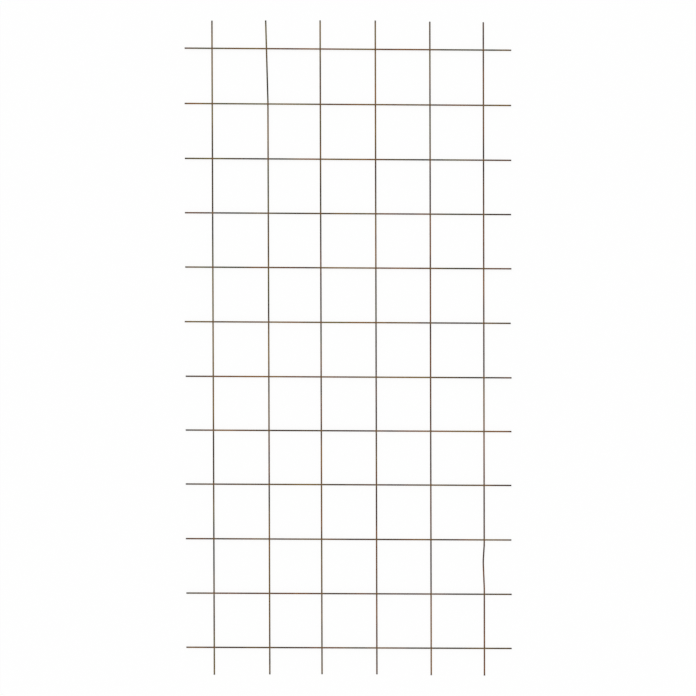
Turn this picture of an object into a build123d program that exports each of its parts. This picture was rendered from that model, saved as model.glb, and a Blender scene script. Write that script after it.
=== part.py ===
from build123d import *

import os
from math import radians, tan

# A flat sheet of welded steel wire mesh, hung on a wall as a trellis for climbing plants.
# Six uprights run the height of the sheet, along Y. Twelve cross wires lie on top of
# them, along X, and each crossing is resistance welded, so the sheet is one piece.
# It lies on its back. Sizes are in millimetres and angles in degrees.

# Stock and layout
wire_diameter = 4.0
side_count = 12  # the round wire is drawn with this many flat sides
upright_count = 6
cross_count = 12
column_pitch = 149.4  # from one upright to the next
row_pitch = 150.0  # from one cross wire to the next
side_overhang = 76.5  # cross wire left free beyond the outer uprights
end_overhang = 78.0  # upright left free beyond the outer cross wires
weld_bite = 0.8  # how far the welder pressed the two wires into each other

# Racking: the sheet is half a degree out of square
upright_lean = 0.16  # the tops of the uprights lean to the left
cross_fall = 0.30  # the cross wires fall to the right

# How far each wire was laid from its even place: to the right for the uprights, from
# the left, and up for the cross wires, from the top
upright_shifts = [0.0, 4.0, -1.0, 1.5, 2.5, 0.5]
cross_shifts = [-0.5, -2.5, -3.5, -3.0, -2.5, -3.0, -3.5, -2.0, -1.0, -2.0, -2.5, -2.5]

# How far each wire had slid along itself when it was welded, so that the ends are
# uneven: up for the uprights, and to the right for the cross wires
upright_slips = [-1.5, 0.0, 1.0, 1.5, -0.5, -1.0]
cross_slips = [1.0, 0.5, 0.5, 0.0, 0.5, -1.5, 0.5, 0.0, -0.5, -1.0, 0.0, -0.5]

# The second upright is knocked to the left just above its second weld
kinked_upright = 1
kink_row = 1
kink_gap = 6.0  # from the weld up to the kink
kink_angle = 1.4
kink_radius = 150.0

# The last upright bows to the left between its tenth and eleventh welds
bowed_upright = 5
bow_row = 9
bow_depth = 3.0
bow_peak = 60.0  # from the upper weld down to the deepest point
bow_margin = 15.0  # straight wire next to the weld at each end of the bow
bow_radius = 250.0

wire_radius = wire_diameter / 2
upright_level = wire_radius
cross_level = upright_level + wire_diameter - weld_bite
half_width = (upright_count - 1) / 2 * column_pitch + side_overhang
half_height = (cross_count - 1) / 2 * row_pitch + end_overhang


def shift(shifts, index):
    """Return how far one wire was moved, from a list. Wires not listed weren't moved."""
    return shifts[index] if index < len(shifts) else 0.0


def column(index):
    """Return how far an upright lies to the right of the middle, counted from the left."""
    even = (index - (upright_count - 1) / 2) * column_pitch
    return even + shift(upright_shifts, index)


def row(index):
    """Return how far a cross wire lies above the middle, counted from the top."""
    even = ((cross_count - 1) / 2 - index) * row_pitch
    return even + shift(cross_shifts, index)


def racked(across, up, level):
    """Return where a point of the square sheet lies on the racked one."""
    x = across - tan(radians(upright_lean)) * up
    y = up - tan(radians(cross_fall)) * across
    return Vector(x, y, level)


def wire(points, bend_radius=0.0):
    """Return a wire with square ends, of straight runs joined by tangent arcs."""
    run = points[1] - points[0]
    # one flat faces up and one down, so the wires lie flat on the floor and each other
    outline = RegularPolygon(wire_radius, side_count, major_radius=False, rotation=180 / side_count)
    section = Plane(points[0], x_dir=Vector(0, 0, 1), z_dir=run) * outline
    if len(points) == 2:
        return extrude(section, amount=run.length).solid()
    route = FilletPolyline(*points, radius=bend_radius)
    return sweep(section, path=route).solid()


def straight_upright(across, low, high):
    """Return an upright as it left the welder, from its low end to its high one."""
    foot = racked(across, low, upright_level)
    head = racked(across, high, upright_level)
    return wire([foot, head])


def kinked_wire(across, low, high):
    """Return an upright whose top leans out from just above a weld."""
    kink_up = row(kink_row) + kink_gap
    swing = tan(radians(kink_angle)) * (high - kink_up)
    foot = racked(across, low, upright_level)
    kink = racked(across, kink_up, upright_level)
    head = racked(across - swing, high, upright_level)
    return wire([foot, kink, head], kink_radius)


def bowed_wire(across, low, high):
    """Return an upright that bows out between two of its welds."""
    upper = row(bow_row)
    lower = row(bow_row + 1)
    foot = racked(across, low, upright_level)
    low_end = racked(across, lower + bow_margin, upright_level)
    peak = racked(across - bow_depth, upper - bow_peak, upright_level)
    high_end = racked(across, upper - bow_margin, upright_level)
    head = racked(across, high, upright_level)
    return wire([foot, low_end, peak, high_end, head], bow_radius)


def upright(index):
    """Return one upright. All but two are straight."""
    slip = shift(upright_slips, index)
    across, low, high = column(index), slip - half_height, slip + half_height
    if index == kinked_upright:
        return kinked_wire(across, low, high)
    if index == bowed_upright:
        return bowed_wire(across, low, high)
    return straight_upright(across, low, high)


def cross_wire(index):
    """Return one cross wire, pressed into the tops of the uprights."""
    slip = shift(cross_slips, index)
    left = racked(slip - half_width, row(index), cross_level)
    right = racked(slip + half_width, row(index), cross_level)
    return wire([left, right])


uprights = [upright(index) for index in range(upright_count)]
cross_wires = [cross_wire(index) for index in range(cross_count)]
sheet = uprights[0].fuse(*uprights[1:], *cross_wires).solid()

# The origin is on the floor under the middle of the sheet
box = sheet.bounding_box()
middle = box.center()
welded_mesh = Pos(-middle.X, -middle.Y, -box.min.Z) * sheet
welded_mesh.label = "welded_mesh"

os.makedirs("parts", exist_ok=True)
export_step(welded_mesh, "parts/welded_mesh.step")
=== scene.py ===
"""A wall trellis: one flat sheet of welded steel wire mesh, gone rusty out of doors.

The sheet lies on its back on a pale floor. X runs to the right across it, Y up it and Z off the
floor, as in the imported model. Lengths are in metres, unless a name ends in _mm.
"""

import logging
from dataclasses import dataclass, field, fields
from enum import Enum
from math import pi, radians, sqrt, tan, tau
from typing import Any, Callable, Iterable, Optional, Sequence, Union

import bpy
import numpy as np
from mathutils import Matrix, Vector


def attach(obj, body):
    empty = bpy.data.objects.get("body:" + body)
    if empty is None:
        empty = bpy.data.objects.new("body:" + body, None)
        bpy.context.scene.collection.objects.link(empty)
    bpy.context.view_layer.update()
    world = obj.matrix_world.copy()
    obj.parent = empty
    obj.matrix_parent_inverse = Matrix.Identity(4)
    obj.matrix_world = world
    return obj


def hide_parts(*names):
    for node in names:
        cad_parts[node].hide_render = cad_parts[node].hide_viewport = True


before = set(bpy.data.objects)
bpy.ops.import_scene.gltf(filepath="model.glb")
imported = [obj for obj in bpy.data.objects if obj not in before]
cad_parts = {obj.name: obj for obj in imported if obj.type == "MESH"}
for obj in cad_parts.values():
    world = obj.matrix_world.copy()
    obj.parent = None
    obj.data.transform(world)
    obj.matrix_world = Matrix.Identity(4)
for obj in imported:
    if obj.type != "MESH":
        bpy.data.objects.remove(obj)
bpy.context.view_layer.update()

log = logging.getLogger("trellis")

SHEET = "welded_mesh"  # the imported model's one node
MM = 0.001
Span = tuple[float, float]
Colour = tuple[float, float, float, float]
Socket = bpy.types.NodeSocket
WHITE: Colour = (1.0, 1.0, 1.0, 1.0)
Given = Union["Value", Socket, bpy.types.ID, Sequence[float], float, str, bool]


class Lay(Enum):
    """Which way a layer of wires runs."""

    UP = "up"
    ACROSS = "across"


class Mark(Enum):
    """What each point of a wire remembers for its finish."""

    WIRE = "wire_number"
    CELL = "cell_number"
    CORE = "wire_middle"
    RUN = "way_out"
    END_GAP = "gap_to_end"
    WELD_GAP = "gap_to_weld"
    AROUND = "share_round"
    ALONG = "length_along"


# Node trees


def operator(operation: str, turned: bool = False) -> Callable[..., "Value"]:
    """Makes an operator of Value, which adds one Math node.

    Args:
        operation: what the node does.
        turned: whether the other number goes before this one.

    Returns:
        The operator.
    """

    def result(this: "Value", other: Given = 0.0) -> "Value":
        """What the node makes of this number and the other."""
        first, second = (other, this) if turned else (this, other)
        return this.plan.math(operation, first, second)

    return result


class Value:
    """A number that a node tree works out. Sums made with it add their own Math nodes.

    Comparing gives 1 or 0, least and most the lower and higher of two, and size drops the sign.
    """

    __add__ = operator("ADD")
    __radd__ = operator("ADD", turned=True)
    __sub__ = operator("SUBTRACT")
    __rsub__ = operator("SUBTRACT", turned=True)
    __mul__ = operator("MULTIPLY")
    __rmul__ = operator("MULTIPLY", turned=True)
    __truediv__ = operator("DIVIDE")
    __rtruediv__ = operator("DIVIDE", turned=True)
    __pow__ = operator("POWER")
    __mod__ = operator("MODULO")
    __lt__ = operator("LESS_THAN")
    __gt__ = operator("GREATER_THAN")
    least = operator("MINIMUM")
    most = operator("MAXIMUM")
    size = operator("ABSOLUTE")

    def __init__(self, plan: "Plan", socket: Socket) -> None:
        """Wraps one output socket of a plan's tree."""
        self.plan = plan
        self.socket = socket

    def __neg__(self) -> "Value":
        """This with its sign turned."""
        return self * -1.0

    def ramp(self, start: Given, stop: Given, low: float = 0.0, high: float = 1.0) -> "Value":
        """Turns smoothly from low to high as this goes from start to stop.

        Args:
            start: where the turn begins.
            stop: where it ends. It is above start.
            low: the result up to start.
            high: the result from stop on.

        Returns:
            The eased value.
        """
        limits = {"From Min": start, "From Max": stop, "To Min": low, "To Max": high}
        eased = {"interpolation_type": "SMOOTHSTEP"}
        made = self.plan.node("ShaderNodeMapRange", eased, {"Value": self, **limits})
        return Value(self.plan, made.outputs["Result"])


class Plan:
    """A node tree being drawn up: a finish, the sky or a rule for shapes."""

    def __init__(self, tree: bpy.types.NodeTree) -> None:
        """Takes a tree and empties it."""
        self.tree = tree
        tree.nodes.clear()

    @staticmethod
    def _socket(sockets: Iterable[Socket], key: str) -> Socket:
        """Finds a socket.

        Args:
            sockets: where to look.
            key: its identifier, or else its name.

        Returns:
            The one with this identifier, or else the first one with this name.
        """
        every = list(sockets)
        exact = [socket for socket in every if socket.identifier == key]
        return exact[0] if exact else next(socket for socket in every if socket.name == key)

    def node(
        self,
        kind: str,
        settings: Optional[dict[str, Any]] = None,
        given: Optional[dict[str, Given]] = None,
    ) -> bpy.types.Node:
        """Adds one node, its settings first and then what its sockets are given.

        Args:
            kind: the node's type.
            settings: its properties.
            given: a value or a link for each socket named.

        Returns:
            The node.
        """
        made = self.tree.nodes.new(kind)
        for name, setting in (settings or {}).items():
            setattr(made, name, setting)
        for key, what in (given or {}).items():
            socket = self._socket(made.inputs, key)
            if isinstance(what, Value):
                self.tree.links.new(what.socket, socket)
            elif isinstance(what, Socket):
                self.tree.links.new(what, socket)
            else:
                socket.default_value = what
        return made

    def out(self, made: bpy.types.Node, key: str) -> Socket:
        """The output of a node by its identifier or name."""
        return self._socket(made.outputs, key)

    def value(self, made: bpy.types.Node, key: str) -> Value:
        """A number that a node puts out, ready for sums."""
        return Value(self, self.out(made, key))

    def math(self, operation: str, first: Given, second: Given = 0.0) -> Value:
        """Adds a Math node and returns its result."""
        given = {"Value": first, "Value_001": second}
        return Value(self, self.node("ShaderNodeMath", {"operation": operation}, given).outputs[0])

    def arrow(self, operation: str, first: Given, second: Given) -> Socket:
        """Adds a Vector Math node between two vectors and returns its vector."""
        given = {"Vector": first, "Vector_001": second}
        return self.node("ShaderNodeVectorMath", {"operation": operation}, given).outputs["Vector"]

    def scaled(self, vector: Given, by: Given) -> Socket:
        """A vector times a number."""
        given = {"Vector": vector, "Scale": by}
        return self.node("ShaderNodeVectorMath", {"operation": "SCALE"}, given).outputs["Vector"]

    def apart(self, vector: Given) -> tuple[Value, Value, Value]:
        """The three numbers of a vector."""
        made = self.node("ShaderNodeSeparateXYZ", None, {"Vector": vector})
        return self.value(made, "X"), self.value(made, "Y"), self.value(made, "Z")

    def together(self, x: Given, y: Given, z: Given) -> Socket:
        """A vector of three numbers."""
        made = self.node("ShaderNodeCombineXYZ", None, {"X": x, "Y": y, "Z": z})
        return made.outputs["Vector"]

    def noise(
        self, place: Given, size: Given, detail: float = 2.0, rough: float = 0.5, seed: Given = 0.0
    ) -> Value:
        """Adds an even noise from 0 to 1.

        Args:
            place: where on the piece.
            size: how long its lumps are, in metres.
            detail: how many finer layers it has.
            rough: how strong those are.
            seed: which of its patterns is used.

        Returns:
            The noise.
        """
        given = {"Vector": place, "W": seed, "Scale": 1.0 / size}
        given |= {"Detail": detail, "Roughness": rough}
        made = self.node("ShaderNodeTexNoise", {"noise_dimensions": "4D"}, given)
        return self.value(made, "Fac")

    def mixed(self, share: Given, first: Given, second: Given) -> Socket:
        """The first colour with a share of the second mixed in."""
        given = {"Factor_Float": share, "A_Color": first, "B_Color": second}
        return self.out(self.node("ShaderNodeMix", {"data_type": "RGBA"}, given), "Result_Color")


class PaintPlan(Plan):
    """The node tree of one finish of the steel."""

    def __init__(self, name: str) -> None:
        """Starts a finish.

        Args:
            name: what it is called.
        """
        self.paint = bpy.data.materials.new(name)
        self.paint.use_nodes = True
        super().__init__(self.paint.node_tree)
        self.place = self.node("ShaderNodeTexCoord").outputs["Object"]

    def cover(self, height: Value, depth: float, given: dict[str, Given]) -> bpy.types.Material:
        """Ends the tree in a rough surface.

        Args:
            height: how the surface rises and falls, about 0 to 1.
            depth: how deep that is.
            given: its colour and its shine.

        Returns:
            The material.
        """
        bump = {"Strength": 1.0, "Distance": depth, "Height": height}
        normal = self.node("ShaderNodeBump", None, bump).outputs["Normal"]
        shader = self.node("ShaderNodeBsdfPrincipled", None, {**given, "Normal": normal})
        self.node("ShaderNodeOutputMaterial", None, {"Surface": shader.outputs["BSDF"]})
        return self.paint


class ShapePlan(Plan):
    """A geometry tree that makes one piece, with named inputs for its sizes."""

    def __init__(self, name: str, sizes: dict[str, Given]) -> None:
        """Starts a tree.

        Args:
            name: what it makes.
            sizes: the value of each named input, whose type gives the socket's.
        """
        super().__init__(bpy.data.node_groups.new(name, "GeometryNodeTree"))
        self.sizes = sizes
        face = self.tree.interface
        face.new_socket(name="Geometry", in_out="INPUT", socket_type="NodeSocketGeometry")
        for title, size in sizes.items():
            kind = type(size).__name__.capitalize()
            face.new_socket(name=title, in_out="INPUT", socket_type=f"NodeSocket{kind}")
        face.new_socket(name="Geometry", in_out="OUTPUT", socket_type="NodeSocketGeometry")
        self.source = self.node("NodeGroupInput")

    def size(self, title: str) -> Value:
        """A named input, ready for sums."""
        return self.value(self.source, title)

    def step(self, kind: str, given: dict[str, Given], settings: Optional[dict] = None) -> Socket:
        """Adds a node that changes geometry and returns its geometry."""
        return self.node(kind, settings, given).outputs[0]

    def keep(self, geometry: Given, mark: Mark, what: Given, kind: str = "FLOAT") -> Socket:
        """Stores a mark on each point and returns the geometry."""
        given = {"Geometry": geometry, "Name": mark.value, "Value": what}
        return self.step("GeometryNodeStoreNamedAttribute", given, {"data_type": kind})

    def kept(self, mark: Mark, kind: str = "FLOAT") -> Any:
        """Reads a stored mark: a Value where it is a number, and a socket otherwise."""
        made = self.node("GeometryNodeInputNamedAttribute", {"data_type": kind}, {"Name": mark.value})
        return self.value(made, "Attribute") if kind == "FLOAT" else made.outputs[0]

    def place(self) -> Socket:
        """Where each point is."""
        return self.node("GeometryNodeInputPosition").outputs[0]

    def drawn(self, low: Given, high: Given, shift: int) -> Value:
        """A number for each point, drawn from the tree's seed moved on by shift."""
        given = {"Min_001": low, "Max_001": high, "Seed": self.size("Seed") + float(shift)}
        return self.value(self.node("FunctionNodeRandomValue", None, given), "Value_001")

    def finish(self, geometry: Given, crease: float) -> None:
        """Ends the tree in a plain, smooth-shaded mesh that wears its finish.

        Args:
            geometry: what has been made.
            crease: the angle in degrees past which an edge stays sharp.
        """
        real = self.step("GeometryNodeRealizeInstances", {"Geometry": geometry})
        smooth = self.step("GeometryNodeSetShadeSmooth", {"Geometry": real}, {"domain": "FACE"})
        angle = self.value(self.node("GeometryNodeInputMeshEdgeAngle"), "Unsigned Angle")
        given = {"Geometry": smooth, "Selection": angle > radians(crease), "Shade Smooth": False}
        creased = self.step("GeometryNodeSetShadeSmooth", given, {"domain": "EDGE"})
        given = {"Geometry": creased, "Material": self.source.outputs["Finish"]}
        dressed = self.step("GeometryNodeSetMaterial", given)
        self.node("NodeGroupOutput", None, {"Geometry": dressed})

    def make(self, name: str, start: bpy.types.Mesh) -> bpy.types.Object:
        """Runs the tree once and keeps the plain mesh that it gives.

        Args:
            name: the piece's name.
            start: the mesh that the tree starts from.

        Returns:
            The piece, with no modifier left on it.
        """
        blank = placed(f"{name}_start", start)
        rule = blank.modifiers.new("shape", "NODES")
        rule.node_group = self.tree
        for item in self.tree.interface.items_tree:
            if item.in_out == "INPUT" and item.name in self.sizes:
                rule[item.identifier] = self.sizes[item.name]
        view = bpy.context.evaluated_depsgraph_get()
        mesh = bpy.data.meshes.new_from_object(blank.evaluated_get(view))
        blank.modifiers.remove(rule)
        bpy.data.objects.remove(blank)
        mesh.name = name
        return placed(name, mesh)


def sizes_of(piece: Any) -> dict[str, Given]:
    """Every number that a piece is made with, by the name that it has in the piece's tree."""
    given = {each.name.replace("_", " "): getattr(piece, each.name) for each in fields(piece)}
    return {name.capitalize(): size for name, size in given.items() if type(size) in (int, float)}


# Objects, meshes and colours


def placed(name: str, data: bpy.types.ID) -> bpy.types.Object:
    """Puts a new object into the scene.

    Args:
        name: its name.
        data: what it shows.

    Returns:
        The object.
    """
    thing = bpy.data.objects.new(name, data)
    bpy.context.scene.collection.objects.link(thing)
    return thing


def mesh_of(
    name: str, points: Iterable[Sequence[float]], edges: Sequence = (), faces: Sequence = ()
) -> bpy.types.Mesh:
    """Makes a mesh.

    Args:
        name: its name.
        points: where its points are.
        edges: the two points of each edge.
        faces: the corners of each face.

    Returns:
        The mesh.
    """
    mesh = bpy.data.meshes.new(name)
    mesh.from_pydata([tuple(point) for point in points], edges, faces)
    return mesh


def listed(items: bpy.types.bpy_prop_collection, name: str, kind: type) -> np.ndarray:
    """One property of every item in a mesh's list.

    Args:
        items: the list.
        name: the property.
        kind: the type of its numbers.

    Returns:
        The numbers, in the list's order.
    """
    numbers = np.empty(len(items), kind)
    items.foreach_get(name, numbers)
    return numbers


def linear(red: float, green: float, blue: float) -> Colour:
    """A colour written as it is seen, in 0 to 255, as the light that it sends back."""
    shares = [share / 255 for share in (red, green, blue)]
    return (*(s / 12.92 if s <= 0.04045 else ((s + 0.055) / 1.055) ** 2.4 for s in shares), 1.0)


# The finish


@dataclass(frozen=True)
class Patterns:
    """Which pattern each slow noise takes on one layer of wires."""

    hue: float
    tint: float
    light: float


@dataclass(frozen=True)
class RustySteel:
    """Drawn wire left out in the rain: grey mill scale under olive and brown rust.

    The tone drifts along each wire by itself, over lengths up to one mesh, and often changes
    from one side of a weld to the other. The sheet is a little greyer and paler towards its
    upper left, its uprights are greener there and redder towards the lower right, and every
    cut end has a dark tip.
    """

    scale_grey: Colour = linear(82, 70, 24)
    orange: Colour = linear(134, 80, 0)
    olive: Colour = linear(89, 95, 8)
    red: Colour = linear(131, 65, 2)
    dust: Colour = linear(127, 107, 42)
    soot: Colour = linear(38, 32, 16)
    loose: Colour = linear(124, 82, 16)
    weld_rust: Colour = linear(118, 80, 44)
    weld_pale: Colour = linear(108, 94, 72)
    bright_cut: Colour = linear(112, 104, 92)
    lightness: float = 0.56
    contrast: Span = (0.32, 1.78)  # of the darkest and the palest spots, next to the rest
    drift: float = 0.14  # how long one tone lasts along a wire
    tint_drift: float = 0.182
    darker_right: float = 0.12  # this and the next five are for each metre
    paler_up: float = 0.03
    browner_right: float = 0.10
    browner_down: float = 0.06
    redder_right: float = 0.50
    greener_up: float = 0.08
    tip_shade: float = 0.35  # how light the very end of a wire is, next to the rest
    tip_reach: float = 0.012
    up_patterns: Patterns = Patterns(-17.0, 3236.0, 4185.0)
    across_patterns: Patterns = Patterns(9976.0, 8214.0, 5048.0)
    wire_steps: Patterns = Patterns(61.0, 37.0, 23.0)  # from one wire's patterns to another's
    cell_browner: float = 0.14  # how much the tone may jump at a weld
    cell_darker: float = 0.10
    mottle: float = 0.0022
    speck: float = 0.0007
    groove: float = 0.00022  # across a drawing line
    groove_run: float = 0.06  # how much finer a drawing line is along the wire
    pit_depth: float = 0.00006
    weld_lump: float = 0.0016
    weld_unrest: float = 0.004  # how unevenly the marks of heat spread from a weld
    heated: Span = (0.0045, 0.011)  # how far from a weld the sheen of heat fades
    scorched: Span = (0.0022, 0.0058)
    cut_edge: Span = (0.00002, 0.00022)
    tear: float = 0.0005

    @staticmethod
    def _mark(plan: Plan, mark: Mark) -> Value:
        """Reads one of the numbers that the wire's points remember."""
        return plan.value(plan.node("ShaderNodeAttribute", {"attribute_name": mark.value}), "Fac")

    def _tone(self, plan: PaintPlan, wire: Value, lay: Lay) -> tuple[Socket, Value]:
        """The slow drift between grey scale and orange rust, bare and dusty, along a wire.

        Args:
            plan: the finish being drawn up.
            wire: the wire's own number.
            lay: which way the wires run.

        Returns:
            The colour, and how light it is.
        """
        x, y, _ = plan.apart(plan.place)
        cell = self._mark(plan, Mark.CELL) - 0.5
        browner = x * self.browner_right - y * self.browner_down + cell * self.cell_browner
        redder = x * self.redder_right - y * self.greener_up
        own = self.up_patterns if lay is Lay.UP else self.across_patterns
        step = self.wire_steps
        hue = plan.noise(plan.place, self.drift, seed=wire * step.hue + own.hue) + browner
        tint = plan.noise(plan.place, self.tint_drift, seed=wire * step.tint + own.tint)
        tint = tint + redder if lay is Lay.UP else tint
        light = plan.noise(plan.place, self.drift, seed=wire * step.light + own.light)
        light = light - cell * self.cell_darker
        base = plan.mixed(hue.ramp(0.36, 0.52), self.scale_grey, self.orange)
        aside = plan.mixed(tint.ramp(0.42, 0.58), self.olive, self.red)
        rusty = plan.mixed(0.4, base, aside)
        dusty = plan.mixed(light.ramp(0.50, 0.66) * 0.35, rusty, self.dust)
        broad = 1.0 - x * self.darker_right + y * self.paler_up
        return dusty, light.ramp(0.36, 0.64, *self.contrast) * broad * self.lightness

    def _rust(self, plan: PaintPlan, tone: Given, wire: Value) -> tuple[Socket, Value]:
        """Fine mottling, rust specks and dark pits over the tone.

        Args:
            plan: the finish being drawn up.
            tone: the colour below.
            wire: the wire's own number.

        Returns:
            The colour, and how much of the surface is loose rust.
        """
        blotch = plan.noise(plan.place, self.mottle * 4, 4.0, 0.62, wire * 11.0)
        mottle = plan.noise(plan.place, self.mottle, 5.0, 0.7, wire * 5.0 + 3.0)
        rust = (0.55 * blotch + 0.45 * mottle).ramp(0.46, 0.60)
        warm = plan.mixed(rust * 0.30, tone, self.loose)
        shade = plan.mixed((0.52 - mottle).ramp(0.0, 0.16) * 0.5, warm, self.soot)
        speck = plan.noise(plan.place, self.speck, 2.0, 0.5, wire * 3.0 + 1.0)
        return plan.mixed(speck.ramp(0.60, 0.68) * 0.4, shade, self.weld_rust), rust

    def _height(self, plan: PaintPlan, lay: Lay, rust: Value) -> Value:
        """How the surface rises and falls, for its bump.

        Args:
            plan: the finish being drawn up.
            lay: which way the wires run, and so their drawing lines.
            rust: how much of the surface is loose rust.

        Returns:
            The height, about 0 to 1.
        """
        run = self.groove_run
        stretch = (1.0, run, 1.0) if lay is Lay.UP else (run, 1.0, 1.0)
        streaks = plan.arrow("MULTIPLY", plan.place, stretch)
        groove = plan.noise(streaks, self.groove, 2.0, 0.6)
        grain = plan.noise(plan.place, self.speck * 0.8, 4.0, 0.7, 4.0)
        cells = {"Vector": plan.place, "Scale": 1.0 / (self.speck * 1.4), "Randomness": 1.0}
        pits = plan.value(plan.node("ShaderNodeTexVoronoi", None, cells), "Distance")
        pit = pits.ramp(0.05, 0.45)
        return groove * (1.0 - rust) * 0.5 + grain * (0.5 + rust * 0.9) + pit * 0.35

    def make(self, lay: Lay) -> bpy.types.Material:
        """Draws up the finish for one layer of wires.

        Args:
            lay: which way its wires run.

        Returns:
            The material.
        """
        plan = PaintPlan(f"rusty steel, wires {lay.value}")
        wire, weld, end = (self._mark(plan, m) for m in (Mark.WIRE, Mark.WELD_GAP, Mark.END_GAP))
        tone, level = self._tone(plan, wire, lay)
        colour, rust = self._rust(plan, tone, wire)
        tip = end.ramp(0.0, self.tip_reach, self.tip_shade, 1.0)
        colour = plan.scaled(colour, level * tip)

        lumps = plan.noise(plan.place, self.weld_lump, 3.0, 0.6, 9.0)
        seat = weld + (lumps - 0.5) * self.weld_unrest
        heat = 1.0 - seat.ramp(*self.heated)
        colour = plan.mixed(heat * 0.35, colour, self.scale_grey)
        burnt = 1.0 - seat.ramp(*self.scorched)
        scorch = plan.mixed(lumps.ramp(0.40, 0.62), self.weld_rust, self.weld_pale)
        colour = plan.mixed(burnt * 0.85, colour, scorch)

        cut = 1.0 - end.ramp(*self.cut_edge)
        torn = plan.noise(plan.place, self.tear, 3.0, 0.65, 2.0)
        face = plan.mixed(torn.ramp(0.42, 0.58), self.bright_cut, self.weld_rust)
        shiny = (1.0 - rust) * (1.0 - burnt)
        given = {
            "Base Color": plan.mixed(cut * 0.8, colour, face),
            "Roughness": 0.90 - shiny * 0.25,
            "Metallic": shiny * 0.15 + cut * 0.25,
            "Specular IOR Level": 0.15,
        }
        return plan.cover(self._height(plan, lay, rust.most(burnt * 0.8)), self.pit_depth, given)


@dataclass(frozen=True)
class BurntSteel:
    """Metal squeezed out by the welder, burnt and then rusted orange."""

    rust: Colour = linear(120, 80, 42)
    pale: Colour = linear(106, 88, 62)
    burnt: Colour = linear(56, 46, 34)
    lump: float = 0.0013
    grain: float = 0.00035
    grain_depth: float = 0.00005
    one_weld: float = 0.12  # over this far the tone changes from weld to weld

    def make(self) -> bpy.types.Material:
        """Draws up the finish.

        Returns:
            The material.
        """
        plan = PaintPlan("burnt steel at the welds")
        lumps = plan.noise(plan.place, self.lump, 3.0, 0.6, 1.0)
        grain = plan.noise(plan.place, self.grain, 4.0, 0.7, 2.0)
        weld = plan.noise(plan.place, self.one_weld, 0.0, 0.5, 5.0)
        level = lumps + (weld - 0.5) * 0.35
        rusty = plan.mixed((level - 0.34) / 0.14, self.burnt, self.rust)
        pale = plan.mixed((level - 0.48) / 0.16, rusty, self.pale)
        dark = (0.5 - grain).ramp(0.0, 0.18)
        given = {
            "Base Color": plan.mixed(dark * 0.55, pale, self.burnt),
            "Roughness": 0.86 - lumps * 0.2,
            "Metallic": 0.1,
            "Specular IOR Level": 0.35,
        }
        return plan.cover(grain, self.grain_depth, given)


# The sheet


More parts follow.
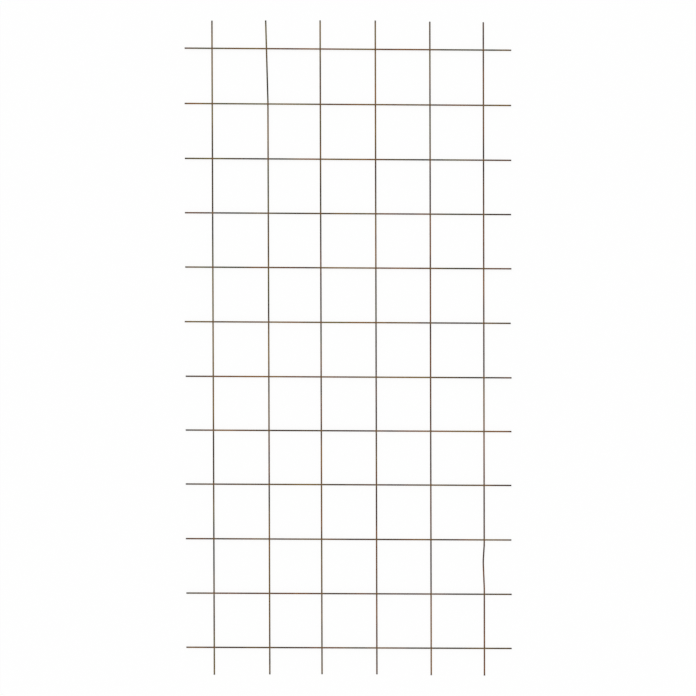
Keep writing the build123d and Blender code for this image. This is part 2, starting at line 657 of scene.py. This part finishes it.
@dataclass
class Layout:
    """Where the wires lie: the even grid, how each was laid, and the knocks since.

    Its sizes are the solid model's own, in millimetres and degrees. Uprights are counted from
    the left and cross wires from the top.
    """

    wire_mm: float = 4.0
    columns: int = 6
    rows: int = 12
    column_pitch_mm: float = 149.4
    row_pitch_mm: float = 150.0
    side_overhang_mm: float = 76.5
    end_overhang_mm: float = 78.0
    bite_mm: float = 0.8
    lean: float = 0.16
    fall: float = 0.30
    column_shifts: Sequence[float] = (0.0, 4.0, -1.0, 1.5, 2.5, 0.5)
    row_shifts: Sequence[float] = (-0.5, -2.5, -3.5, -3, -2.5, -3, -3.5, -2, -1, -2, -2.5, -2.5)
    column_slips: Sequence[float] = (-1.5, 0.0, 1.0, 1.5, -0.5, -1.0)
    row_slips: Sequence[float] = (1.0, 0.5, 0.5, 0, 0.5, -1.5, 0.5, 0, -0.5, -1.0, 0, -0.5)
    kinked: int = 1
    kink_row: int = 1
    kink_gap_mm: float = 6.0
    kink_angle: float = 1.4
    bowed: int = 5
    bow_row: int = 9
    bow_mm: float = 3.0
    bow_peak_mm: float = 60.0
    bow_margin_mm: float = 15.0
    bend_mm: float = 200.0  # for both knocks, where the solid has 150 and 250
    levels: dict[Lay, float] = field(init=False)
    half_width: float = field(init=False)
    half_height: float = field(init=False)
    middle: Vector = field(init=False)

    def __post_init__(self) -> None:
        """Works out the height of each layer and the middle of the sheet."""
        upright = self.wire_mm / 2
        self.levels = {Lay.UP: upright, Lay.ACROSS: upright + self.wire_mm - self.bite_mm}
        columns, rows = (self.columns - 1) / 2, (self.rows - 1) / 2
        self.half_width = columns * self.column_pitch_mm + self.side_overhang_mm
        self.half_height = rows * self.row_pitch_mm + self.end_overhang_mm
        self.middle = Vector((0.0, 0.0, 0.0))
        ends = [route[k] for lay in Lay for route in self.routes(lay) for k in (0, -1)]
        spans = [(min(p[k] for p in ends) + max(p[k] for p in ends)) / 2 for k in (0, 1)]
        self.middle = Vector((*spans, 0.0))

    def column(self, index: int) -> float:
        """How far an upright lies to the right of the middle."""
        return (index - (self.columns - 1) / 2) * self.column_pitch_mm + self.column_shifts[index]

    def row(self, index: int) -> float:
        """How far a cross wire lies above the middle."""
        return ((self.rows - 1) / 2 - index) * self.row_pitch_mm + self.row_shifts[index]

    def racked(self, across: float, up: float, level: float) -> Vector:
        """Moves a point of the square sheet to where the racked sheet has it.

        Args:
            across: millimetres to the right of the middle.
            up: millimetres above the middle.
            level: millimetres off the floor.

        Returns:
            The point, in metres.
        """
        x = across - tan(radians(self.lean)) * up
        y = up - tan(radians(self.fall)) * across
        return Vector((x, y, level)) * MM - self.middle

    def upright(self, index: int) -> list[Vector]:
        """The corners of one upright's route, from its foot up.

        Args:
            index: which upright.

        Returns:
            Two points, or more where it was knocked.
        """
        across, slip = self.column(index), self.column_slips[index]
        low, high = slip - self.half_height, slip + self.half_height
        inner: list[tuple[float, float]] = []
        swing = 0.0
        if index == self.kinked:
            kink = self.row(self.kink_row) + self.kink_gap_mm
            swing = tan(radians(self.kink_angle)) * (high - kink)
            inner = [(across, kink)]
        if index == self.bowed:
            upper, lower = self.row(self.bow_row), self.row(self.bow_row + 1)
            inner = [
                (across, lower + self.bow_margin_mm),
                (across - self.bow_mm, upper - self.bow_peak_mm),
                (across, upper - self.bow_margin_mm),
            ]
        stops = [(across, low), *inner, (across - swing, high)]
        return [self.racked(x, y, self.levels[Lay.UP]) for x, y in stops]

    def cross_wire(self, index: int) -> list[Vector]:
        """The two ends of one cross wire."""
        sides = (self.row_slips[index] + way * self.half_width for way in (-1, 1))
        return [self.racked(side, self.row(index), self.levels[Lay.ACROSS]) for side in sides]

    def routes(self, lay: Lay) -> list[list[Vector]]:
        """Every route of one layer."""
        route, count = (self.upright, self.columns) if lay is Lay.UP else (self.cross_wire, self.rows)
        return [route(index) for index in range(count)]

    def crossings(self, level_mm: float) -> list[Vector]:
        """Where the wires cross, seen from above.

        Args:
            level_mm: the height to put the points at.

        Returns:
            One point for each weld.
        """
        found = []
        for upright in self.routes(Lay.UP):
            for left, right in self.routes(Lay.ACROSS):
                found.append(self._meet(upright, left, right))
        return [Vector((x, y, level_mm * MM)) for x, y in found]

    @staticmethod
    def _meet(upright: list[Vector], left: Vector, right: Vector) -> tuple[float, float]:
        """Where a route crosses a straight wire, seen from above.

        Args:
            upright: the route's corners, from its foot up.
            left: one end of the straight wire.
            right: its other end.

        Returns:
            How far to the right and how far up that is.
        """
        slope = (right.y - left.y) / (right.x - left.x)
        for low, high in zip(upright, upright[1:]):
            lean = (high.x - low.x) / (high.y - low.y)
            x = (low.x + lean * (left.y - slope * left.x - low.y)) / (1 - lean * slope)
            y = left.y + slope * (x - left.x)
            if low.y <= y <= high.y:
                return x, y
        raise ValueError("a cross wire misses an upright")


@dataclass
class WireLayer:
    """One layer of parallel wires: round, welded, and sheared off at both ends."""

    name: str
    lay: Lay
    layout: Layout
    finish: RustySteel
    seed: int
    sides: int = 20
    fine_step: float = 0.0005
    weld_every: int = 2
    plain_every: int = 8
    weld_reach: float = 0.007
    end_reach: float = 0.0026
    electrode_flat: float = 0.00022
    weld_bulge: float = 0.00010
    relief: float = 0.00005
    lump: float = 0.007  # how long the lumps in its scale are
    shear_slant: float = 0.00045
    shear_roll: float = 0.0007
    shear_reach: float = 0.0016  # how far from its end a wire is pulled out of shape
    shear_tear: float = 0.00018
    tear_lump: float = 0.0011
    end_drift: float = 0.03  # over this far one end comes to differ from the next
    pressed: Span = (0.0012, 0.0042)  # how far from a weld the welder's marks fade

    def _start(self) -> bpy.types.Mesh:
        """Turns the routes into loose runs of edges, each with its own number from 0 to 1.

        Returns:
            The mesh that the tree starts from.
        """
        routes = self.layout.routes(self.lay)
        points = [point for route in routes for point in route]
        edges, numbers, first = [], [], 0
        drawn = np.random.default_rng(self.seed).permutation(len(routes)) / len(routes)
        for route, number in zip(routes, drawn):
            edges += [(first + k, first + k + 1) for k in range(len(route) - 1)]
            numbers += [float(number)] * len(route)
            first += len(route)
        mesh = mesh_of(f"{self.name}_routes", points, edges)
        mark = mesh.attributes.new(Mark.WIRE.value, "FLOAT", "POINT")
        mark.data.foreach_set("value", numbers)
        return mesh

    def _plan(self, welds: bpy.types.Object) -> ShapePlan:
        """Names the sizes of the tree and starts it.

        Args:
            welds: points where this layer is welded, at its own height.

        Returns:
            The empty tree.
        """
        form, up = self.layout, self.lay is Lay.UP
        sizes = sizes_of(self) | {
            "Wire radius": form.wire_mm / 2 * MM,
            "Bend radius": form.bend_mm * MM,
            "Pitch": (form.row_pitch_mm if up else form.column_pitch_mm) * MM,
            "Overhang": (form.end_overhang_mm if up else form.side_overhang_mm) * MM,
            "Outer side": -1.0 if up else 1.0,
            "Welds": welds,
            "Finish": self.finish.make(self.lay),
        }
        return ShapePlan(f"{self.name} from routes", sizes)

    def _rings(self, plan: ShapePlan) -> Socket:
        """Turns the routes into runs of points, close together at welds and ends.

        Args:
            plan: the tree.

        Returns:
            The curves, with their marks.
        """
        lines = plan.step("GeometryNodeMeshToCurve", {"Mesh": plan.source.outputs["Geometry"]})
        bend = {"Curve": lines, "Count": 5, "Radius": plan.size("Bend radius"), "Limit Radius": True}
        bent = plan.step("GeometryNodeFilletCurve", bend, {"mode": "POLY"})
        even = {"Curve": bent, "Length": plan.size("Fine step")}
        curves = plan.step("GeometryNodeResampleCurve", even, {"mode": "LENGTH"})

        spline = plan.node("GeometryNodeSplineParameter")
        whole = plan.value(plan.node("GeometryNodeSplineLength"), "Length")
        along = plan.value(spline, "Length")
        weld_object = {"Object": plan.source.outputs["Welds"]}
        welds = plan.out(plan.node("GeometryNodeObjectInfo", None, weld_object), "Geometry")
        near = plan.node("GeometryNodeProximity", {"target_element": "POINTS"}, {"Target": welds})
        tangent = plan.node("GeometryNodeInputTangent").outputs[0]
        outward = plan.math("SIGN", along - whole * 0.5)

        curves = plan.keep(curves, Mark.END_GAP, along.least(whole - along))
        curves = plan.keep(curves, Mark.ALONG, along)
        cell = plan.math("FLOOR", (along - plan.size("Overhang")) / plan.size("Pitch") + 1.0)
        key = plan.together(plan.kept(Mark.WIRE) * 97.0, cell, plan.size("Seed"))
        drawn = plan.node("ShaderNodeTexWhiteNoise", {"noise_dimensions": "3D"}, {"Vector": key})
        curves = plan.keep(curves, Mark.CELL, plan.value(drawn, "Value"))
        curves = plan.keep(curves, Mark.WELD_GAP, plan.value(near, "Distance"))
        curves = plan.keep(curves, Mark.CORE, plan.place(), "FLOAT_VECTOR")
        curves = plan.keep(curves, Mark.RUN, plan.scaled(tangent, outward), "FLOAT_VECTOR")

        index = plan.value(spline, "Index")
        close = plan.kept(Mark.WELD_GAP) < plan.size("Weld reach")
        by_weld = close * (index % plan.size("Weld every") < 0.5)
        by_end = plan.kept(Mark.END_GAP) < plan.size("End reach")
        plain = index % plan.size("Plain every") < 0.5
        spare = 1.0 - by_weld.most(by_end).most(plain)
        given = {"Geometry": curves, "Selection": spare}
        return plan.step("GeometryNodeDeleteGeometry", given, {"domain": "POINT"})

    def _tubes(self, plan: ShapePlan, curves: Given) -> Socket:
        """Draws round closed wires along the curves.

        Args:
            plan: the tree.
            curves: where they run.

        Returns:
            The wires.
        """
        level = plan.step("GeometryNodeSetCurveNormal", {"Curve": curves}, {"mode": "Z_UP"})
        ring = {"Resolution": plan.size("Sides"), "Radius": plan.size("Wire radius")}
        circle = plan.step("GeometryNodeCurvePrimitiveCircle", ring, {"mode": "RADIUS"})
        share = plan.value(plan.node("GeometryNodeSplineParameter"), "Factor")
        circle = plan.keep(circle, Mark.AROUND, share)
        given = {"Curve": level, "Profile Curve": circle, "Fill Caps": True}
        return plan.step("GeometryNodeCurveToMesh", given)

    def _worn(self, plan: ShapePlan, wires: Given) -> Socket:
        """Gives the wires their scale, the welder's marks and their sheared ends.

        Nothing moves out of the round except the slight bulge beside a weld.

        Args:
            plan: the tree.
            wires: the round wires.

        Returns:
            The wires as they are.
        """
        radius = plan.size("Wire radius")
        place = plan.place()
        core = plan.kept(Mark.CORE, "FLOAT_VECTOR")
        radial = plan.scaled(plan.arrow("SUBTRACT", place, core), 1.0 / radius)
        rise = plan.apart(radial)[2]
        outer = rise * plan.size("Outer side")

        lumps = plan.noise(place, plan.size("Lump"), 2.0, 0.6, plan.size("Seed"))
        relief = lumps.ramp(0.30, 0.70) * plan.size("Relief")
        weld = 1.0 - plan.kept(Mark.WELD_GAP).ramp(*self.pressed)
        bulge = weld * plan.size("Weld bulge") * (1.0 - rise * rise)
        pressed = (outer * radius - (radius - weld * plan.size("Electrode flat"))).most(0.0)
        down = -(pressed * plan.size("Outer side"))

        end = (1.0 - plan.kept(Mark.END_GAP) / plan.size("Shear reach")).most(0.0)
        odd = plan.noise(core, plan.size("End drift"), 0.0, 0.5, 8.0).ramp(0.3, 0.7)
        upper = rise * 0.5 + 0.5
        roll = (end * end) * (rise.most(0.0) ** 1.5) * plan.size("Shear roll") * (0.6 + odd * 0.4)
        torn = plan.noise(place, plan.size("Tear lump"), 2.0, 0.6, 3.0) * plan.size("Shear tear")
        slant = end * (upper * plan.size("Shear slant") * (0.3 + odd * 0.7) + torn)
        back = plan.scaled(plan.kept(Mark.RUN, "FLOAT_VECTOR"), -slant)
        moves = plan.arrow("ADD", plan.scaled(radial, bulge - relief), back)
        moves = plan.arrow("ADD", moves, plan.together(0.0, 0.0, down - roll))
        return plan.step("GeometryNodeSetPosition", {"Geometry": wires, "Offset": moves})

    def _unroll(self, mesh: bpy.types.Mesh) -> None:
        """Lays the wires' skins out flat, as even strips side by side, on the mesh's own map.

        The wires are taken end to end and cut into strips that fill a square, and the sheared
        ends go in one more column, as discs. A face across the place where a wire's round
        starts has its first corners moved on by one round.

        Args:
            mesh: the finished wires.
        """
        gap, disc = 0.02, 0.45  # shares of a strip's width: beside it, and a disc's radius
        corners = listed(mesh.loops, "vertex_index", np.int32)
        starts = listed(mesh.polygons, "loop_start", np.int32)
        sizes = listed(mesh.polygons, "loop_total", np.int32)
        marks = (mesh.attributes[m.value].data for m in (Mark.WIRE, Mark.ALONG, Mark.AROUND))
        number, along, turn = (listed(m, "value", np.float32)[corners] for m in marks)

        count = len(self.layout.routes(self.lay))
        longest = float(along.max()) + self.fine_step
        columns = round(sqrt(count * longest / (self.layout.wire_mm * MM * pi)))
        height = count * longest / columns
        run = number * count * longest + along
        column = np.repeat(np.minimum.reduceat(run, starts) // height, sizes)
        spread = np.maximum.reduceat(turn, starts) - np.minimum.reduceat(turn, starts)
        over = np.repeat(spread > 0.5, sizes) & (turn < 0.5)
        side = column + gap + (1 - 2 * gap) * (turn + over)
        up = (run / height - column) * (1 - gap)

        cap = sizes > 4
        level = np.repeat((np.cumsum(cap) - 0.5) / (2 * count), sizes)
        disc_side = columns + 0.5 + disc * np.cos(turn * tau)
        disc_up = level + disc * np.sin(turn * tau) / (columns + 1)
        side = np.where(np.repeat(cap, sizes), disc_side, side) / (columns + 1)
        up = np.where(np.repeat(cap, sizes), disc_up, up)
        spots = np.stack([side, up], axis=1).astype(np.float32)
        mesh.uv_layers.new(name="OFBake").uv.foreach_set("vector", spots.ravel())

    def build(self) -> bpy.types.Object:
        """Draws the layer.

        Returns:
            The piece.
        """
        crossings = self.layout.crossings(self.layout.levels[self.lay])
        welds = placed(f"{self.name}_welds", mesh_of(f"{self.name}_welds", crossings))
        plan = self._plan(welds)
        plan.finish(self._worn(plan, self._tubes(plan, self._rings(plan))), crease=50.0)
        piece = plan.make(self.name, self._start())
        self._unroll(piece.data)
        bpy.data.objects.remove(welds)
        return piece


@dataclass
class WeldFlash:
    """The metal that the welder squeezed out round each crossing, a lumpy four-cornered bead."""

    layout: Layout
    finish: BurntSteel
    name: str = "weld_flash"
    seed: int = 7
    segments: int = 28
    rings: int = 10
    reach: float = 0.0030
    waist: float = 0.72
    thickness: float = 0.0011
    ruffle: float = 0.00045
    twist: float = 0.20
    lump: float = 0.0013
    growth: Span = (0.84, 1.12)

    def build(self) -> bpy.types.Object:
        """Makes a bead at every crossing.

        Returns:
            The piece.
        """
        seat = self.layout.wire_mm - self.layout.bite_mm / 2
        plan = ShapePlan("beads at the welds", sizes_of(self) | {"Finish": self.finish.make()})
        self._beads(plan)
        return plan.make(self.name, mesh_of("weld_seats", self.layout.crossings(seat)))

    def _beads(self, plan: ShapePlan) -> None:
        """Draws up one bead, puts it at every weld, and makes each one its own.

        Args:
            plan: the tree.
        """
        grid = {"Segments": plan.size("Segments"), "Rings": plan.size("Rings"), "Radius": 1.0}
        ball = plan.step("GeometryNodeMeshUVSphere", grid)
        x, y, z = plan.apart(plan.place())
        spread = (x * x + y * y).most(0.0001)
        corner = (x * y).size() * 2.0 / spread
        reach = plan.size("Reach") * (plan.size("Waist") + (1.0 - plan.size("Waist")) * corner)
        shape = plan.together(x * reach, y * reach, z * plan.size("Thickness"))
        bead = plan.step("GeometryNodeSetPosition", {"Geometry": ball, "Position": shape})

        twist = plan.size("Twist")
        turn = plan.together(0.0, 0.0, plan.drawn(-twist, twist, 0))
        grow = plan.together(*(plan.drawn(*self.growth, shift) for shift in (1, 2, 3)))
        given = {"Points": plan.source.outputs["Geometry"], "Instance": bead}
        given |= {"Rotation": turn, "Scale": grow}
        beads = plan.step("GeometryNodeInstanceOnPoints", given)
        beads = plan.step("GeometryNodeRealizeInstances", {"Geometry": beads})
        lumps = plan.noise(plan.place(), plan.size("Lump"), 2.0, 0.6, 6.0)
        normal = plan.node("GeometryNodeInputNormal").outputs[0]
        push = plan.scaled(normal, (lumps - 0.42) * plan.size("Ruffle") * 2.0)
        rough = plan.step("GeometryNodeSetPosition", {"Geometry": beads, "Offset": push})
        plan.finish(rough, crease=70.0)


@dataclass
class WeldSpatter:
    """Small beads thrown from the welds, stuck fast to the wires close by."""

    wires: WireLayer
    on: bpy.types.Object
    finish: BurntSteel
    name: str
    seed: int
    density: float = 9000.0
    near: float = 0.0020
    far: float = 0.0085
    bead: float = 0.00026
    smallest: float = 0.35
    flank: float = 0.6  # how far up and down the sides of a wire the beads stick

    def build(self) -> bpy.types.Object:
        """Scatters the beads over one layer.

        Returns:
            The piece.
        """
        sizes = {"Wire radius": self.wires.layout.wire_mm / 2 * MM, "Finish": self.finish.make()}
        plan = ShapePlan(f"{self.name} on its wires", sizes_of(self) | sizes)
        gap = plan.kept(Mark.WELD_GAP)
        mask = 1.0 - gap.ramp(plan.size("Near"), plan.size("Far"))
        offset = plan.arrow("SUBTRACT", plan.place(), plan.kept(Mark.CORE, "FLOAT_VECTOR"))
        rise = plan.apart(offset)[2] / plan.size("Wire radius")
        given = {
            "Mesh": plan.source.outputs["Geometry"],
            "Selection": rise.size() < plan.size("Flank"),
            "Density": plan.size("Density") * mask * mask,
            "Seed": plan.size("Seed"),
        }
        spots = plan.step("GeometryNodeDistributePointsOnFaces", given)
        ball = plan.step("GeometryNodeMeshIcoSphere", {"Radius": 1.0, "Subdivisions": 2})
        grow = plan.drawn(plan.size("Smallest"), 1.0, 1) * plan.size("Bead")
        given = {"Points": spots, "Instance": ball, "Scale": plan.together(grow, grow, grow)}
        plan.finish(plan.step("GeometryNodeInstanceOnPoints", given), crease=80.0)
        return plan.make(self.name, self.on.data.copy())


# The studio


@dataclass
class Studio:
    """A plain pale floor under soft light, with the camera above the sheet.

    The camera hangs a little to the upper left of the middle, because the photograph shows the
    meshes half a percent larger at the top than at the bottom.
    """

    view_width: float = 1.9211  # how much of the floor fits in the picture
    lens: float = 85.0
    sensor: float = 36.0
    aim: Vector = field(default_factory=lambda: Vector((-0.00145, 0.0024, 0.0036)))
    tilt: Vector = field(default_factory=lambda: Vector((-0.0074, 0.0115, 1.0)))
    floor_size: float = 30.0
    floor_colour: Colour = (0.97, 0.97, 0.97, 1.0)
    floor_glow: float = 0.84  # how much of it is plain white to the camera
    sky_level: float = 0.78
    sun_level: float = 0.85
    sun_softness: float = 35.0
    sun_turn: Span = (-24.0, -30.0)

    @staticmethod
    def _seen(plan: Plan) -> Value:
        """Tells what is seen from what only lights other things.

        Args:
            plan: the floor's tree or the sky's.

        Returns:
            1 for what the camera, a mirror or clear glass shows, or else 0.
        """
        rays = plan.node("ShaderNodeLightPath")
        seen = plan.value(rays, "Is Camera Ray").most(plan.value(rays, "Is Glossy Ray"))
        return seen.most(plan.value(rays, "Is Transmission Ray"))

    def _floor(self) -> None:
        """Lays the floor, which looks white and keeps the sheet's shadow."""
        half = self.floor_size / 2
        corners = [(-half, -half, 0.0), (half, -half, 0.0), (half, half, 0.0), (-half, half, 0.0)]
        mesh = mesh_of("floor", corners, faces=[(0, 1, 2, 3)])
        paint = bpy.data.materials.new("pale floor")
        paint.use_nodes = True
        plan = Plan(paint.node_tree)
        matt = plan.node("ShaderNodeBsdfDiffuse", None, {"Color": self.floor_colour})
        glow = plan.node("ShaderNodeEmission", None, {"Color": WHITE, "Strength": 1.0})
        both = plan.node("ShaderNodeMixShader", None, {"Fac": self._seen(plan) * self.floor_glow})
        plan.tree.links.new(matt.outputs["BSDF"], both.inputs[1])
        plan.tree.links.new(glow.outputs["Emission"], both.inputs[2])
        plan.node("ShaderNodeOutputMaterial", None, {"Surface": both.outputs["Shader"]})
        mesh.materials.append(paint)
        placed("floor", mesh)

    def _light(self) -> None:
        """Sets an even sky and one soft sun from the upper left."""
        world = bpy.data.worlds.new("sky")
        world.use_nodes = True
        bpy.context.scene.world = world
        plan = Plan(world.node_tree)
        level = self._seen(plan) * (1.0 - self.sky_level) + self.sky_level
        sky = plan.node("ShaderNodeBackground", None, {"Color": WHITE, "Strength": level})
        plan.node("ShaderNodeOutputWorld", None, {"Surface": sky.outputs["Background"]})
        lamp = bpy.data.lights.new("sun", "SUN")
        lamp.energy = self.sun_level
        lamp.angle = radians(self.sun_softness)
        placed("sun", lamp).rotation_euler = (*(radians(turn) for turn in self.sun_turn), 0.0)

    def _camera(self) -> None:
        """Hangs the camera where the sheet fills the picture as it should."""
        data = bpy.data.cameras.new("camera")
        data.lens = self.lens
        data.sensor_width = self.sensor
        data.clip_end = 100.0
        camera = placed("camera", data)
        back = self.tilt.normalized()
        right = Vector((0.0, 1.0, 0.0)).cross(back).normalized()
        up = back.cross(right)
        turn = Matrix((right, up, back)).transposed().to_4x4()
        place = self.aim + back * (self.view_width * self.lens / self.sensor)
        camera.matrix_world = Matrix.Translation(place) @ turn
        bpy.context.scene.camera = camera

    def build(self) -> None:
        """Sets everything that isn't the sheet."""
        self._floor()
        self._light()
        self._camera()
        bpy.context.scene.view_settings.view_transform = "Standard"


def mount(piece: bpy.types.Object) -> None:
    """Ties a piece to the sheet's body, hides the solid that it stands for, and logs its triangles.

    Args:
        piece: a finished piece, at rest.
    """
    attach(piece, "root")
    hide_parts(SHEET)
    triangles = sum(len(face.vertices) - 2 for face in piece.data.polygons)
    log.info("%s: %d triangles", piece.name, triangles)


def main() -> None:
    """Builds the sheet and its studio, and reports each piece."""
    logging.basicConfig(level=logging.INFO, format="%(message)s")
    layout = Layout()
    finish = RustySteel()
    burnt = BurntSteel()
    uprights = WireLayer("uprights", Lay.UP, layout, finish, seed=3)
    cross_wires = WireLayer("cross_wires", Lay.ACROSS, layout, finish, seed=5)
    for layer, seed in ((uprights, 11), (cross_wires, 12)):
        wires = layer.build()
        spatter = WeldSpatter(layer, wires, burnt, f"spatter_on_{layer.name}", seed)
        mount(spatter.build())
        mount(wires)
    mount(WeldFlash(layout, burnt).build())
    Studio().build()


if __name__ == "__main__":
    main()
